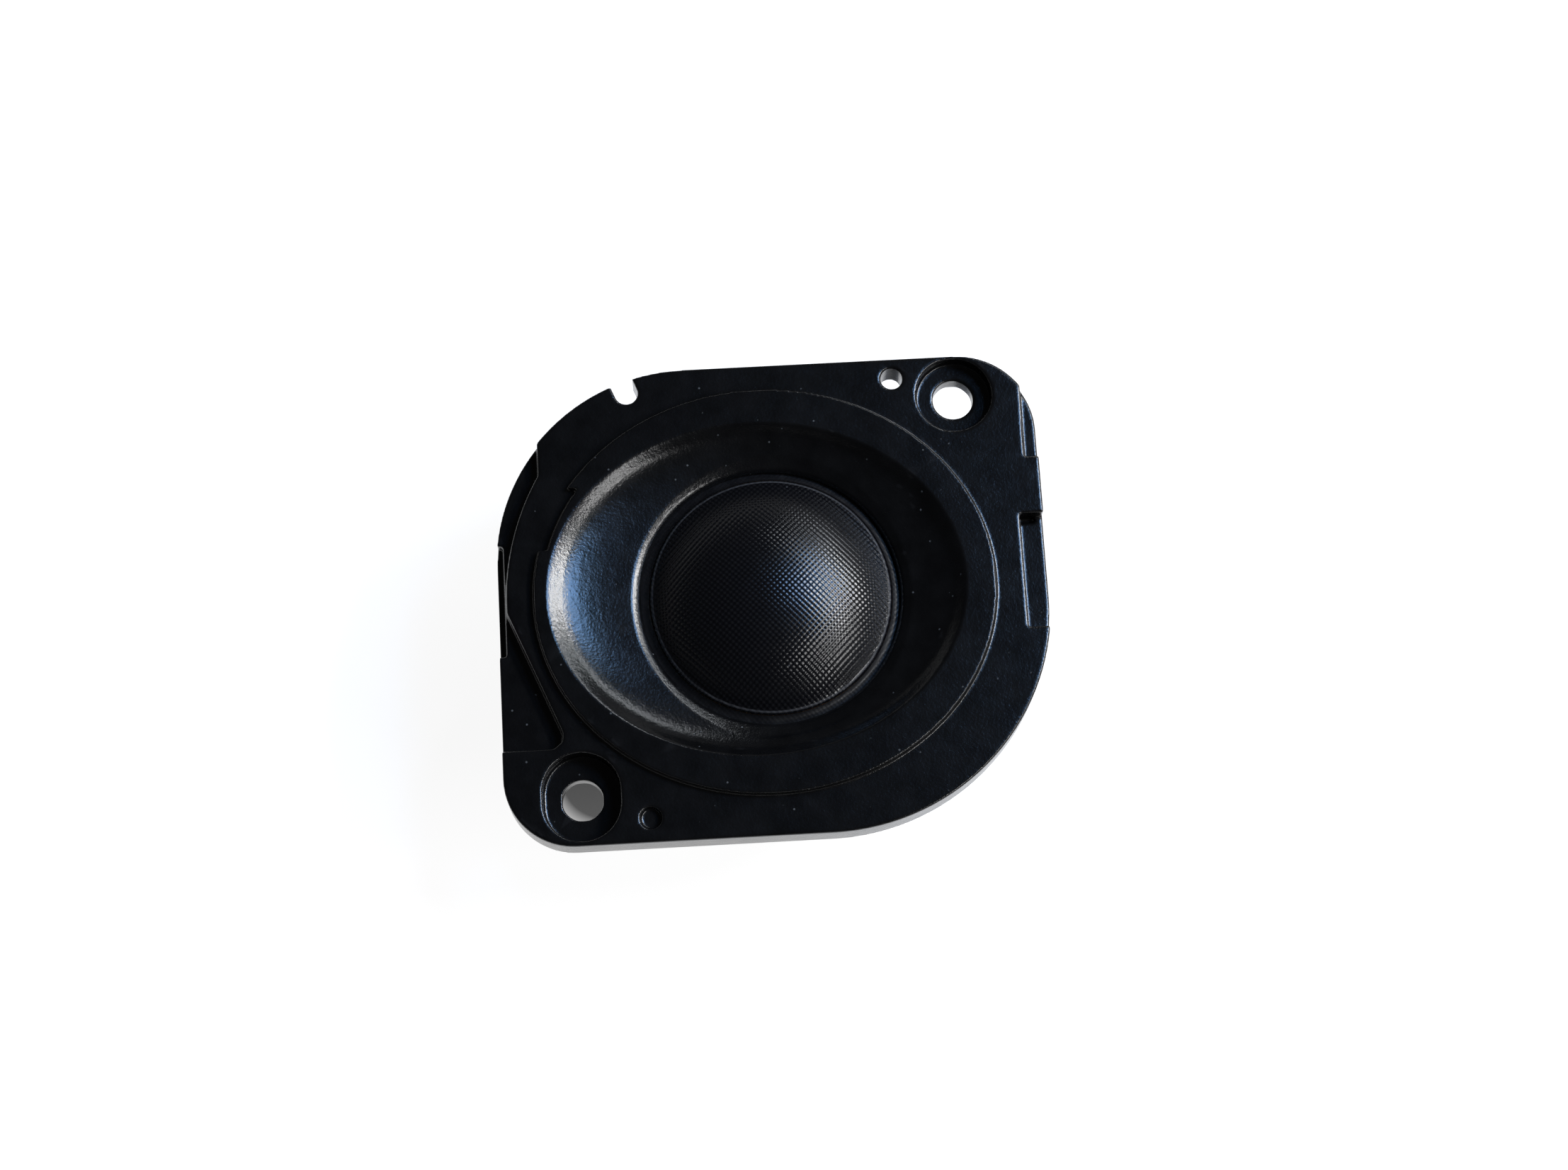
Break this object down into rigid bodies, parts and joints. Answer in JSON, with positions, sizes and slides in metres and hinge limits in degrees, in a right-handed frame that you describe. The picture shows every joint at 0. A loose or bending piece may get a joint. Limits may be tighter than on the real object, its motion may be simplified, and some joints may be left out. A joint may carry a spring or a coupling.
{
  "type": "car tweeter",
  "caption": "Dome tweeter for a car: flat flange with two screw ears, shallow oval waveguide, soft woven dome, neodymium motor in a round rear housing with a side connector.",
  "frame": {"origin": "on the dome's axis, in the plane of the flange's back face, midway between the two screw holes", "axes": "+Z along the dome's axis out of the face, +X across the flange to the right and +Y up the flange, seen from the front"},
  "size_m": [0.0567, 0.0498, 0.0239],
  "materials": {
    "face_plastic": "satin moulded, fine grain",
    "gasket_foam": "closed-cell foam",
    "dome_silk": "coated woven silk, soft sheen",
    "surround_silk": "coated cloth, matte",
    "former_film": "amber polyimide film",
    "copper_wire": "enamelled copper winding",
    "ring_plastic": "satin moulded",
    "contact_brass": "tinned and gold-flashed brass",
    "damping_felt": "wool felt",
    "motor_steel": "zinc-plated turned steel",
    "magnet_nickel": "nickel-plated sintered magnet",
    "housing_plastic": "satin moulded",
    "screw_steel": "dark zinc",
    "wire_red": "insulated wire",
    "wire_black": "insulated wire",
    "board_green": "solder-masked laminate",
    "capacitor_can": "sleeved aluminium can",
    "tinned_lead": "tinned wire",
    "solder": "bright solder",
    "connector_plastic": "moulded nylon"
  },
  "bodies": {
    "housing": {"face_plate": "face_plastic", "front_gasket": "gasket_foam", "surround": "surround_silk", "coil_leads": "copper_wire", "diaphragm_ring": "ring_plastic", "terminal_tabs": "contact_brass", "damping_pad": "damping_felt", "pole_plate": "motor_steel", "magnet": "magnet_nickel", "yoke": "motor_steel", "rear_housing": "housing_plastic", "assembly_screws": "screw_steel", "lead_wire_positive": "wire_red", "lead_wire_negative": "wire_black", "anti_rattle_pad": "damping_felt", "circuit_board": "board_green", "capacitor": "capacitor_can", "capacitor_leads": "tinned_lead", "solder_joints": "solder", "connector_shell": "connector_plastic", "contact_pin_positive": "contact_brass", "contact_pin_negative": "contact_brass", "rear_cover": "housing_plastic"},
    "diaphragm": {"dome": "dome_silk", "coil_former": "former_film", "voice_coil": "copper_wire"}
  },
  "joints": [
    {"name": "diaphragm_travel", "type": "slide", "parent": "housing", "child": "diaphragm", "axis": [0, 0, 1], "range_m": [-0.0004, 0.0004], "stiffness_N_per_m": 400, "deforming": ["surround", "coil_leads"]}
  ]
}
